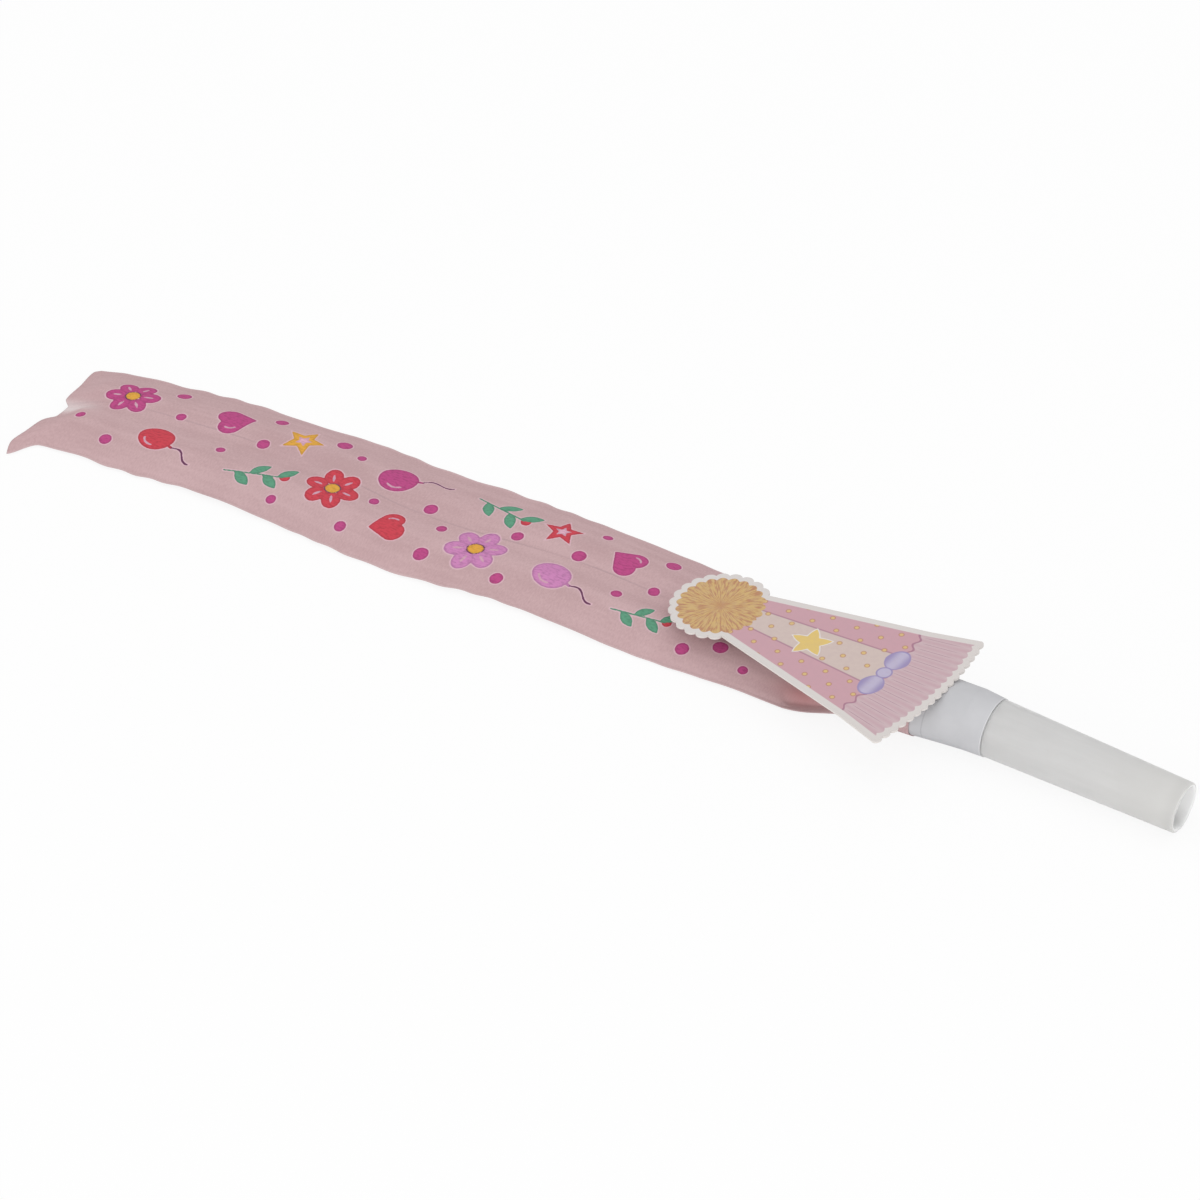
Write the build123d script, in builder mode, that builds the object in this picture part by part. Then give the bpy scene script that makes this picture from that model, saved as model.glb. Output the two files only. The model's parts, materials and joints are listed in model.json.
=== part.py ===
import os
from math import asin, atan, cos, degrees, radians, sin, sqrt

from build123d import *

os.makedirs("parts", exist_ok=True)

# Driving dimensions, in millimetres and degrees

# Mouthpiece: tapered plastic tube with a full-round lip and a short flared spigot behind a shoulder
mouth_exposed = 45.0
mouth_insert = 5.0
mouth_tip_r = 5.7
mouth_shoulder_r = 6.55
shoulder_step = 0.2
mouth_spigot_r = 6.65
lip_wall = 0.9
spigot_wall = 0.9
lip_bore_length = 12.0

# Collar: paper tube, round over the spigot, pressed oval before the sleeve and flatter still inside it
collar_wall = 0.3
collar_press_length = 11.0
collar_cuff_half_width = 8.8
collar_cuff_half_height = 5.9
collar_oval_length = 8.0
collar_oval_half_width = 9.4
collar_oval_half_height = 5.4
fit_gap = 0.05

# Reed: plug with a half-round trough, a tongue over it and a clip at the tongue's root
plug_length = 6.0
plug_setback = 2.0
trough_r = 3.4
trough_wall = 0.7
trough_length = 24.0
tongue_width = 5.6
tongue_length = 20.0
tongue_thickness = 0.2
tongue_open = 4.0
tongue_lift = 0.15
clip_length = 2.4
clip_wall = 0.6
clip_gap = 0.2

# Sleeve: paper tube, lens-shaped with a valley along the middle of its top
sleeve_length = 227.0
sleeve_width = 36.0
lobe_height = 3.6
valley_height = 2.7
paper = 0.15
crease_inset = 0.6
neck_flare = 24.0
segment_count = 20
segment_gap = 0.2
coil_reach = 25.5
seal_length = 1.2
seal_height = 0.5

# Curl strip: sprung strip glued under the valley
strip_width = 4.0
strip_thickness = 0.2

# Topper card: die-cut party hat, laid over the neck with its brim towards the mouthpiece
card_length = 67.0
card_thickness = 0.5
brim_half_width = 20.2
brim_bulge = 2.4
brim_scallops = 17
scallop_depth = 0.7
band_height = 11.0
band_half_width = 17.0
pompom_r = 10.8
pompom_tufts = 16
tuft_depth = 0.8
pompom_root_angle = 52.0
card_yaw = 6.0
card_offset = -3.4
card_lift = 0.4
card_overhang = 1.5
head_gap = 3.0
pad_setback = 3.0
pad_length = 7.5
pad_width = 8.0

# Places worked out from the sizes above

collar_r = mouth_spigot_r + fit_gap + collar_wall
horn_length = mouth_exposed + mouth_insert
horn_pitch = atan((collar_r - mouth_tip_r) / horn_length)
flat_length = card_length - card_overhang + coil_reach - collar_oval_length - neck_flare

x_wide = flat_length / 2
x_curl = -flat_length / 2
x_collar_end = x_wide + neck_flare
x_cuff = x_collar_end + collar_oval_length
x_lip = x_cuff + collar_press_length + horn_length * cos(horn_pitch)
x_end = x_cuff - sleeve_length
segment_length = (x_curl - x_end) / segment_count

horn_in = Vector(-cos(horn_pitch), 0, sin(horn_pitch))
lip_centre = Vector(x_lip, 0, mouth_tip_r * cos(horn_pitch))
horn_axis = Axis(lip_centre, horn_in)
horn_section = Plane(lip_centre, x_dir=horn_in, z_dir=(0, 1, 0))

lip_bore_r = mouth_tip_r - lip_wall
spigot_bore_r = mouth_spigot_r - spigot_wall
bore_taper = (spigot_bore_r - lip_bore_r) / (horn_length - lip_bore_length)
strip_top = valley_height - paper - fit_gap


def bore_r(depth):
    return lip_bore_r + bore_taper * (depth - lip_bore_length)


def horn_station(depth):
    return Plane(lip_centre + horn_in * depth, x_dir=(0, 1, 0), z_dir=-horn_in)


def sleeve_station(x):
    return Plane((x, 0, 0), x_dir=(0, 1, 0), z_dir=(1, 0, 0))


def oval_outline(half_width, half_height, centre_height=0.0):
    with BuildLine() as outline:
        for quarter in range(4):
            EllipticalCenterArc((0, centre_height), half_width, half_height, 90 * quarter, arc_size=90)
    return outline.edges()


def nested_ovals(collar_half_width, collar_half_height):
    lining = fit_gap + paper
    centre_height = collar_half_height + lining
    insets = (-lining, -fit_gap, 0, collar_wall)
    return [oval_outline(collar_half_width - i, collar_half_height - i, centre_height) for i in insets]


def lens_outline(lobe, valley, floor=0.0, inset=0.0):
    edge = sleeve_width / 2 - inset
    crest = edge * sqrt(lobe - valley) / (sqrt(lobe - floor) + sqrt(lobe - valley))
    with BuildLine() as outline:
        ThreePointArc((edge, floor), (crest, lobe), (0, valley))
        ThreePointArc((0, valley), (-crest, lobe), (-edge, floor))
        Line((-edge, floor), (0, floor))
        Line((0, floor), (edge, floor))
    return outline.edges()


def save(builder, name):
    builder.part.label = name
    export_step(builder.part, f"parts/{name}.step")


# Sections that neighbouring pieces share

sleeve_outside = lens_outline(lobe_height, valley_height)
sleeve_inside = lens_outline(lobe_height - paper, valley_height - paper, paper, crease_inset)
cuff_outside, cuff_inside, collar_cuff_outside, collar_cuff_inside = nested_ovals(
    collar_cuff_half_width, collar_cuff_half_height
)
neck_outline, neck_inside, collar_oval_outside, collar_oval_inside = nested_ovals(
    collar_oval_half_width, collar_oval_half_height
)

# Mouthpiece: revolved about the horn's own axis, which tips down so that the lip rests on the table

lip_round = lip_wall / 2
with BuildPart() as mouthpiece:
    with BuildSketch(horn_section):
        with BuildLine():
            Polyline(
                (lip_round, mouth_tip_r),
                (mouth_exposed, mouth_shoulder_r),
                (mouth_exposed, mouth_shoulder_r - shoulder_step),
                (horn_length, mouth_spigot_r),
                (horn_length, spigot_bore_r),
                (lip_bore_length, lip_bore_r),
                (lip_round, lip_bore_r),
            )
            ThreePointArc((lip_round, lip_bore_r), (0, mouth_tip_r - lip_round), (lip_round, mouth_tip_r))
        make_face()
    revolve(axis=horn_axis)
save(mouthpiece, "mouthpiece")

# Collar: cone over the spigot, then pressed oval in two steps

collar_mouth_r = mouth_shoulder_r - shoulder_step + fit_gap + collar_wall
collar_skins = (
    (0, collar_cuff_outside, collar_oval_outside, Mode.ADD),
    (collar_wall, collar_cuff_inside, collar_oval_inside, Mode.SUBTRACT),
)
with BuildPart() as collar:
    for inset, cuff_section, end_section, mode in collar_skins:
        with BuildSketch(horn_section):
            Polygon(
                (mouth_exposed, 0),
                (mouth_exposed, collar_mouth_r - inset),
                (horn_length, collar_r - inset),
                (horn_length, 0),
                align=None,
            )
        revolve(axis=horn_axis, mode=mode)
        with BuildSketch(horn_station(horn_length)):
            make_face(oval_outline(collar_r - inset, collar_r - inset))
        with BuildSketch(sleeve_station(x_cuff)):
            make_face(cuff_section)
        loft(ruled=True, mode=mode)
        with BuildSketch(sleeve_station(x_cuff)):
            make_face(cuff_section)
        with BuildSketch(sleeve_station(x_collar_end)):
            make_face(end_section)
        loft(ruled=True, mode=mode)
save(collar, "collar")

# Reed body: plug in the spigot's bore, with a trough that is closed at its mouth end

plug_end = horn_length - plug_setback
plug_start = plug_end - plug_length
trough_start = plug_start - trough_length
with BuildPart() as reed_body:
    with BuildSketch(horn_section):
        Polygon(
            (plug_start, 0),
            (plug_start, bore_r(plug_start) - fit_gap),
            (plug_end, bore_r(plug_end) - fit_gap),
            (plug_end, 0),
            align=None,
        )
    revolve(axis=horn_axis)
    with BuildSketch(horn_station(trough_start)):
        Circle(trough_r)
        Rectangle(2 * trough_r, trough_r, align=(Align.CENTER, Align.MIN), mode=Mode.SUBTRACT)
    extrude(amount=-trough_length)
    with BuildSketch(horn_station(trough_start + trough_wall)):
        Circle(trough_r - trough_wall)
        Rectangle(2 * trough_r, trough_r, align=(Align.CENTER, Align.MIN), mode=Mode.SUBTRACT)
    extrude(amount=-(trough_length + plug_length), mode=Mode.SUBTRACT)
save(reed_body, "reed_body")

# Reed clip: half ring under the trough and a bar over it

clip_r = trough_r + fit_gap + clip_wall
clip_start = plug_start - clip_length
with BuildPart() as reed_clip:
    with BuildSketch(horn_station(clip_start)):
        Circle(clip_r)
        Rectangle(2 * clip_r, clip_r, align=(Align.CENTER, Align.MIN), mode=Mode.SUBTRACT)
        Circle(trough_r + fit_gap, mode=Mode.SUBTRACT)
        Rectangle(2 * clip_r, clip_wall, align=(Align.CENTER, Align.MIN))
    extrude(amount=-clip_length)
save(reed_clip, "reed_clip")

# Reed tongue: leaf that stands open by a few degrees and flexes at the clip's edge

tongue_root = horn_station(clip_start - clip_gap)
tongue_plane = Plane(
    tongue_root.from_local_coords((0, tongue_lift, 0)),
    x_dir=tongue_root.z_dir.rotate(Axis.Y, -tongue_open),
    z_dir=tongue_root.y_dir.rotate(Axis.Y, -tongue_open),
)
with BuildPart() as reed_tongue:
    with BuildSketch(tongue_plane):
        Rectangle(tongue_length, tongue_width, align=(Align.MIN, Align.CENTER))
    extrude(amount=tongue_thickness)
save(reed_tongue, "reed_tongue")

# Outside of the neck: oval over the collar's end, then flared out to the flat sleeve

with BuildPart() as neck_outside:
    with BuildSketch(sleeve_station(x_cuff)):
        make_face(cuff_outside)
    with BuildSketch(sleeve_station(x_collar_end)):
        make_face(neck_outline)
    loft(ruled=True)
    with BuildSketch(sleeve_station(x_collar_end)):
        make_face(neck_outline)
    with BuildSketch(sleeve_station(x_wide)):
        make_face(sleeve_outside)
    loft(ruled=True)

# Sleeve base: the hollow neck and the flat length under the card

with BuildPart() as sleeve_base:
    add(neck_outside.part)
    with BuildSketch(sleeve_station(x_wide)):
        make_face(sleeve_outside)
    extrude(amount=x_curl - x_wide)
    with BuildSketch(sleeve_station(x_cuff)):
        make_face(cuff_inside)
    with BuildSketch(sleeve_station(x_collar_end)):
        make_face(neck_inside)
    loft(ruled=True, mode=Mode.SUBTRACT)
    with BuildSketch(sleeve_station(x_collar_end)):
        make_face(neck_inside)
    with BuildSketch(sleeve_station(x_wide)):
        make_face(sleeve_inside)
    loft(ruled=True, mode=Mode.SUBTRACT)
    with BuildSketch(sleeve_station(x_wide)):
        make_face(sleeve_inside)
    extrude(amount=x_curl - x_wide, mode=Mode.SUBTRACT)
save(sleeve_base, "sleeve_base")

with BuildPart() as curl_strip_base:
    with BuildSketch(sleeve_station(x_wide)):
        with Locations((0, strip_top)):
            Rectangle(strip_width, strip_thickness, align=(Align.CENTER, Align.MAX))
    extrude(amount=x_curl - x_wide)
save(curl_strip_base, "curl_strip_base")

# Sleeve segments: equal lengths of the lens tube, each with its length of curl strip

for index in range(segment_count - 1):
    x_start = x_curl - index * segment_length - segment_gap
    x_stop = x_curl - (index + 1) * segment_length
    with BuildPart() as sleeve_segment:
        with BuildSketch(sleeve_station(x_start)):
            make_face(sleeve_outside)
            make_face(sleeve_inside, mode=Mode.SUBTRACT)
        extrude(amount=x_stop - x_start)
    save(sleeve_segment, f"sleeve_segment_{index + 1:02d}")
    with BuildPart() as curl_strip:
        with BuildSketch(sleeve_station(x_start)):
            with Locations((0, strip_top)):
                Rectangle(strip_width, strip_thickness, align=(Align.CENTER, Align.MAX))
        extrude(amount=x_stop - x_start)
    save(curl_strip, f"curl_strip_{index + 1:02d}")

# Sleeve tip: the last length, drawn down to a glued seam

x_tip = x_end + segment_length - segment_gap
with BuildPart() as sleeve_tip:
    with BuildSketch(sleeve_station(x_tip)):
        make_face(sleeve_outside)
    with BuildSketch(sleeve_station(x_end)):
        make_face(lens_outline(seal_height, seal_height - paper))
    loft(ruled=True)
    with BuildSketch(sleeve_station(x_tip)):
        make_face(sleeve_inside)
    with BuildSketch(sleeve_station(x_end + seal_length)):
        make_face(lens_outline(seal_height, seal_height - paper, paper, crease_inset))
    loft(ruled=True, mode=Mode.SUBTRACT)
save(sleeve_tip, "sleeve_tip")

# Topper card: plane laid from the neck's mouth down towards the sleeve, turned a little about its brim

neck_top = 2 * (collar_cuff_half_height + fit_gap + paper)
brim_z = neck_top + card_lift
head_z = lobe_height + head_gap
card_tilt = asin((brim_z - head_z) / card_length)
card_rest = Plane(
    (x_cuff + card_overhang, 0, brim_z),
    x_dir=(-cos(card_tilt), 0, -sin(card_tilt)),
    z_dir=(-sin(card_tilt), 0, cos(card_tilt)),
)
card_plane = Plane(
    card_rest.from_local_coords((0, -card_offset, 0)),
    x_dir=card_rest.x_dir.rotate(Axis((0, 0, 0), card_rest.z_dir), -card_yaw),
    z_dir=card_rest.z_dir,
)
brim_r = (brim_half_width**2 + brim_bulge**2) / (2 * brim_bulge)
brim_half_angle = degrees(asin(brim_half_width / brim_r))
brim_centre = brim_r - brim_bulge
pompom_centre = card_length - pompom_r - tuft_depth


def brim_point(share, radius):
    angle = radians(180 + brim_half_angle * (1 - 2 * share))
    return (brim_centre + radius * cos(angle), radius * sin(angle))


def pompom_point(share, radius):
    angle = radians((180 - pompom_root_angle) * (1 - 2 * share))
    return (pompom_centre + radius * cos(angle), radius * sin(angle))


with BuildPart() as topper_card:
    with BuildSketch(card_plane):
        with BuildLine():
            for scallop in range(brim_scallops):
                ThreePointArc(
                    brim_point(scallop / brim_scallops, brim_r),
                    brim_point((scallop + 0.5) / brim_scallops, brim_r + scallop_depth),
                    brim_point((scallop + 1) / brim_scallops, brim_r),
                )
            Polyline(brim_point(1, brim_r), (band_height, band_half_width), pompom_point(0, pompom_r))
            for tuft in range(pompom_tufts):
                ThreePointArc(
                    pompom_point(tuft / pompom_tufts, pompom_r),
                    pompom_point((tuft + 0.5) / pompom_tufts, pompom_r + tuft_depth),
                    pompom_point((tuft + 1) / pompom_tufts, pompom_r),
                )
            Polyline(pompom_point(1, pompom_r), (band_height, -band_half_width), brim_point(0, brim_r))
        make_face()
    extrude(amount=card_thickness)
save(topper_card, "topper_card")

# Glue pad: fills the gap between the card and the top of the neck

with BuildPart() as glue_pad:
    with BuildSketch(card_rest):
        with Locations((pad_setback, 0)):
            Rectangle(pad_length, pad_width, align=(Align.MIN, Align.CENTER))
    extrude(amount=-neck_top / 4)
    add(neck_outside.part, mode=Mode.SUBTRACT)
save(glue_pad, "glue_pad")

hinge_height = sleeve_base.faces().sort_by(Axis.X)[0].bounding_box().max.Z
print(f"horn pitch {degrees(horn_pitch):.3f} deg, card tilt {degrees(card_tilt):.2f} deg")
print(f"lip centre {lip_centre}, curl starts at x {x_curl:.3f}, segments {segment_length:.4f} long")
print(f"hinge height {hinge_height:.4f}, tongue root {tongue_plane.origin}")
print(f"x runs from {x_end:.3f} to {x_lip:.3f}")
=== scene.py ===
import functools
import json
import math

import bmesh
import bpy
import numpy as np
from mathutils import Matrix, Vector


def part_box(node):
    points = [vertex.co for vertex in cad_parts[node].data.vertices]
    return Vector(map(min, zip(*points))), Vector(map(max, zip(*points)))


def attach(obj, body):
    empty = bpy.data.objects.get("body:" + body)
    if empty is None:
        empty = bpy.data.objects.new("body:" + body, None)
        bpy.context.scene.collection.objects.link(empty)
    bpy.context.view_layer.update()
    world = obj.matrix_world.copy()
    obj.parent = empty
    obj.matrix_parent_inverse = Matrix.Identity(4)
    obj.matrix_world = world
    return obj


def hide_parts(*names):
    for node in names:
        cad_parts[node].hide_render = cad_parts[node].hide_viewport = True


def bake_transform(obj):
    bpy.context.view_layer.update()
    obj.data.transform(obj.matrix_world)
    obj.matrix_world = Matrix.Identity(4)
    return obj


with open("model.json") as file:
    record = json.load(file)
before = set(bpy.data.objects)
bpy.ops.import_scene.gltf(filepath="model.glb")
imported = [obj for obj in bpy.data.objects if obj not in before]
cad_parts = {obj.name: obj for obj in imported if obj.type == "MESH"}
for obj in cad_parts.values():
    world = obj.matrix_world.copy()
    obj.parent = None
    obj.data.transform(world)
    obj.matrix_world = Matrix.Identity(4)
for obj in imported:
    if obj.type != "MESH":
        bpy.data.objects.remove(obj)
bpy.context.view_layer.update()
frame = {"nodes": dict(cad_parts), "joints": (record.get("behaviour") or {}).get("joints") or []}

mm = 0.001
print("frame loaded with", len(frame["nodes"]), "nodes")


# Shader kit: a socket that takes arithmetic, and a bench that adds any node

class Wire:
    def __init__(self, bench, socket):
        self.bench = bench
        self.socket = socket

    def maths(self, operation, *values):
        return self.bench.node("ShaderNodeMath", {"operation": operation}, values)

    def __add__(self, other):
        return self.maths("ADD", self, other)

    def __radd__(self, other):
        return self.maths("ADD", other, self)

    def __sub__(self, other):
        return self.maths("SUBTRACT", self, other)

    def __rsub__(self, other):
        return self.maths("SUBTRACT", other, self)

    def __mul__(self, other):
        return self.maths("MULTIPLY", self, other)

    def __rmul__(self, other):
        return self.maths("MULTIPLY", other, self)

    def __truediv__(self, other):
        return self.maths("DIVIDE", self, other)

    def __pow__(self, other):
        return self.maths("POWER", self, other)

    def __abs__(self):
        return self.maths("ABSOLUTE", self)

    def least(self, other):
        return self.maths("MINIMUM", self, other)

    def most(self, other):
        return self.maths("MAXIMUM", self, other)

    def fraction(self):
        return self.maths("FRACT", self)

    def sine(self):
        return self.maths("SINE", self)

    def angleTo(self, other):
        return self.maths("ARCTAN2", self, other)

    def soft(self, start, stop):  # 0 at start, 1 at stop, either way round
        spread = {"Value": self, "From Min": start, "From Max": stop}
        return self.bench.node("ShaderNodeMapRange", {"interpolation_type": "SMOOTHSTEP"}, spread)


class Bench:
    def __init__(self, owner):
        owner.use_nodes = True
        self.tree = owner.node_tree
        self.tree.nodes.clear()

    def node(self, kind, settings=None, sockets=(), output=0):
        made = self.tree.nodes.new(kind)
        for name, value in (settings or {}).items():
            setattr(made, name, value)
        pairs = sockets.items() if isinstance(sockets, dict) else enumerate(sockets)
        for key, value in pairs:
            if isinstance(value, Wire):
                self.tree.links.new(value.socket, made.inputs[key])
            else:
                made.inputs[key].default_value = value
        return Wire(self, made.outputs[output]) if made.outputs else None

    def tint(self, mask, under, over):  # over shows where mask is 1
        return self.node("ShaderNodeMix", {"data_type": "RGBA"}, {0: mask, 6: under, 7: over}, 2)

    def speckle(self, place, scale, detail=3.0, roughness=0.55):
        sockets = {"Vector": place, "Scale": scale, "Detail": detail, "Roughness": roughness}
        return self.node("ShaderNodeTexNoise", {}, sockets)

    def stretch(self, place, scale):
        return self.node("ShaderNodeVectorMath", {"operation": "MULTIPLY"}, [place, scale])

    def dot(self, place, direction):
        return self.node("ShaderNodeVectorMath", {"operation": "DOT_PRODUCT"}, [place, direction], 1)

    def objectPlace(self):
        return self.node("ShaderNodeTexCoord", output=3)

    def attribute(self, name):
        return self.node("ShaderNodeAttribute", {"attribute_name": name}, output=2)

    def bump(self, height, strength, distance):
        sockets = {"Strength": strength, "Distance": distance, "Height": height}
        return self.node("ShaderNodeBump", {}, sockets)

    def surface(self, **sockets):
        named = {key.replace("_", " "): value for key, value in sockets.items()}
        shader = self.node("ShaderNodeBsdfPrincipled", {}, named)
        self.node("ShaderNodeOutputMaterial", {}, {"Surface": shader})


def rgb(red, green, blue):  # from 0-255 screen values
    levels = [screen / 255 for screen in (red, green, blue)]
    linear = [c / 12.92 if c <= 0.04045 else ((c + 0.055) / 1.055) ** 2.4 for c in levels]
    return (*linear, 1.0)


def newBench(name):
    material = bpy.data.materials.new(name)
    return material, Bench(material)


# Plain materials for the moulded and paper pieces

plastic = {
    "milk": (215, 214, 213),
    "cloud": (212, 211, 210),
    # painted shade towards the lip and at its rim
    "lipShade": (199, 198, 196),
    "lipReach": 26.0,
    "paintedRim": (188, 187, 185),
    "rimReach": 4.0,
    # painted light inside the bore and on the spigot by the collar
    "bore": (247, 247, 245),
    "streak": (70.0, 800.0, 800.0),
    "cloudScale": 130.0,
    "cloudShare": 0.4,
    "grainScale": 5200.0,
    "roughness": 0.37,
    "lightDepth": 0.004,
    "lip": (122.483, 0.0, 5.698),
    "pitch": 1.489,
    "midWall": 5.25,
    "wallBlur": 0.2,
    "widening": 0.02,
    "showing": 45.0,
    "spigotWhite": (0.25, 0.1),  # starts and is full, mm before the collar
}
hornPitch = math.radians(plastic["pitch"])
hornIn = (-math.cos(hornPitch), 0, math.sin(hornPitch))
hornUp = (math.sin(hornPitch), 0, math.cos(hornPitch))


def fromLip(bench, direction):  # mm from the lip's centre along a direction
    lip = Vector(plastic["lip"]) * mm
    place = bench.node("ShaderNodeVectorMath", {"operation": "SUBTRACT"}, [bench.objectPlace(), lip])
    return bench.dot(place, Vector(direction) / mm)


def frostedPlastic():
    material, bench = newBench("frostedPlastic")
    place = bench.objectPlace()
    streaks = bench.speckle(bench.stretch(place, plastic["streak"]), 1.0, 4.0)
    cloud = bench.speckle(place, plastic["cloudScale"], 2.0)
    mask = (streaks * (1 - plastic["cloudShare"]) + cloud * plastic["cloudShare"]).soft(0.38, 0.62)
    grain = bench.speckle(place, plastic["grainScale"], 2.0)
    colour = bench.tint(mask, rgb(*plastic["cloud"]), rgb(*plastic["milk"]))
    # painted shade: darker towards the lip, and darker still at its rim, to even out the lamp light there
    depth, rise, aside = fromLip(bench, hornIn), fromLip(bench, hornUp), fromLip(bench, (0, 1, 0))
    colour = bench.tint(depth.soft(plastic["lipReach"], 0.0), colour, rgb(*plastic["lipShade"]))
    colour = bench.tint(depth.soft(plastic["rimReach"], 0.0), colour, rgb(*plastic["paintedRim"]))
    # painted light: the bore and the hidden spigot are painted whiter, standing in for the light that the
    # thin wall lets through and lifting the shadow by the collar's edge
    reach = (rise * rise + aside * aside) ** 0.5 - plastic["widening"] * depth
    inside = reach.soft(plastic["midWall"] + plastic["wallBlur"], plastic["midWall"] - plastic["wallBlur"])
    starts, full = plastic["spigotWhite"]
    spigot = depth.soft(plastic["showing"] - starts, plastic["showing"] - full)
    bench.surface(
        Base_Color=bench.tint(inside.most(spigot), colour, rgb(*plastic["bore"])),
        Roughness=plastic["roughness"] + 0.06 * streaks,
        Normal=bench.bump(grain * 0.3 + streaks, 0.12, 0.0001),
        Subsurface_Weight=1.0,
        Subsurface_Radius=(1.0, 1.0, 1.0),
        Subsurface_Scale=plastic["lightDepth"],
        IOR=1.45,
    )
    return material


collarLook = {
    "paper": (198, 198, 201),
    "shade": (193, 193, 196),
    "line": (174, 174, 178),
    "lapAt": 64.2,
    "lapWidth": (0.22, 0.06),
    # painted light on the collar's end rim
    "jointLight": (208, 208, 210),
    "jointLightWidth": (0.3, 0.15),
    "fibre": (900.0, 2600.0, 2600.0),
    "mottleScale": 160.0,
}


def collarPaper():
    material, bench = newBench("collarPaper")
    place = bench.objectPlace()
    fibre = bench.speckle(bench.stretch(place, collarLook["fibre"]), 1.0, 5.0)
    mottle = bench.speckle(place, collarLook["mottleScale"], 3.0)
    colour = bench.tint(mottle.soft(0.3, 0.7), rgb(*collarLook["shade"]), rgb(*collarLook["paper"]))
    # edge of the outer wrap, a little way out from the sleeve
    past = bench.dot(place, (1 / mm, 0, 0)) - collarLook["lapAt"] + 0.5 * (mottle - 0.5)
    colour = bench.tint(abs(past).soft(*collarLook["lapWidth"]) * 0.6, colour, rgb(*collarLook["line"]))
    # painted light: the collar's end rim is painted paler, lifting the shadow in its joint with the
    # mouthpiece
    starts, full = collarLook["jointLightWidth"]
    paintedRim = fromLip(bench, hornIn).soft(plastic["showing"] + starts, plastic["showing"] + full)
    colour = bench.tint(paintedRim, colour, rgb(*collarLook["jointLight"]))
    bench.surface(
        Base_Color=colour,
        Roughness=0.72 + 0.1 * fibre,
        Normal=bench.bump(fibre + past.soft(0.12, -0.12), 0.18, 0.00008),
        Specular_IOR_Level=0.35,
    )
    return material


hiddenFinishes = {  # light, dark, roughness, scale of the grain
    "setGlue": ((224, 218, 200), (206, 198, 176), 0.4, 700.0),
    "reedPlastic": ((214, 214, 210), (196, 196, 192), 0.4, 1500.0),
    "stripFilm": ((220, 218, 212), (204, 202, 196), 0.35, 1200.0),
}


def plainFinish(name):
    light, dark, roughness, scale = hiddenFinishes[name]
    material, bench = newBench(name)
    grain = bench.speckle(bench.objectPlace(), scale, 4.0)
    bench.surface(
        Base_Color=bench.tint(grain.soft(0.35, 0.65), rgb(*dark), rgb(*light)),
        Roughness=roughness + 0.1 * grain,
        Normal=bench.bump(grain, 0.1, 0.00005),
    )
    return material


# Sleeve paper: pink crepe with the print read from the piece's own ink distances

sleeveLook = {
    "paper": (202, 171, 173),
    "deep": (186, 154, 156),
    # painted highlight near the far end, and paler crease edges
    "wearAndSheen": (224, 212, 212),
    "line": (168, 142, 146),
    # painted shade beside the tuck, under the card
    "tuckShade": (182, 122, 122),
    "inks": {
        "inkLilac": (202, 132, 182),
        "inkRose": (187, 74, 132),
        "inkCoral": (203, 66, 80),
        "inkLeaf": (94, 155, 126),
        "inkGold": (224, 166, 66),
        "inkPlum": (116, 62, 98),
        "inkBlush": (226, 176, 196),
    },
    "halo": (215, 180, 190),
    "haloWidth": (0.38, 0.2),
    "seamWidth": (0.34, 0.1),
    "inkBlur": 0.06,
    "brushed": 0.86,  # share of the ink's tone in its brush marks
    "rimmed": 0.8,  # and along its edge
    "crepe": (300.0, 120.0, 1.0),
    "fibre": (40.0, 480.0, 1.0),
    "folds": (1.6, 26.0, 1.0),
    "brush": (90.0, 210.0, 1.0),
    "mottleScale": 9.0,
    "wobbleScale": 140.0,
    "wobble": 0.25,
}


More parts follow.
